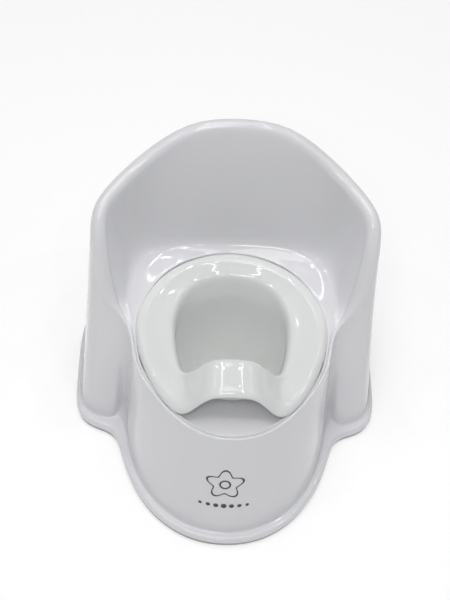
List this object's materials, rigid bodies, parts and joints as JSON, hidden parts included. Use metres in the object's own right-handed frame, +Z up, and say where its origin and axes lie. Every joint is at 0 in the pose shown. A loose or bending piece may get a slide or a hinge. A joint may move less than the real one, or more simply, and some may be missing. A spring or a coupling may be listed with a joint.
{
  "type": "potty training chair",
  "caption": "High-backed toddler potty chair with arms: a moulded chair shell on an anti-slip strip, with a lift-out potty and splash guard.",
  "frame": {"origin": "on the floor, under the middle of the chair's bounding box", "axes": "+X to the right seen from the front, +Y to the back (the chair faces -Y), +Z up"},
  "size_m": [0.35, 0.3799, 0.315],
  "materials": {
    "shell_plastic": "glossy white moulded polypropylene with a faint cool tint",
    "potty_plastic": "glossy white moulded polypropylene, slightly warmer than the shell",
    "strip_rubber": "matte light grey thermoplastic rubber",
    "print_ink": "dark grey pad print"
  },
  "bodies": {
    "chair": {"chair_shell": "shell_plastic", "floor_strip": "strip_rubber"},
    "potty": {"inner_potty": "potty_plastic"}
  },
  "joints": [
    {"name": "potty_lift", "type": "slide", "parent": "chair", "child": "potty", "axis": [0, 0, 1], "range_m": [0, 0.2]}
  ]
}
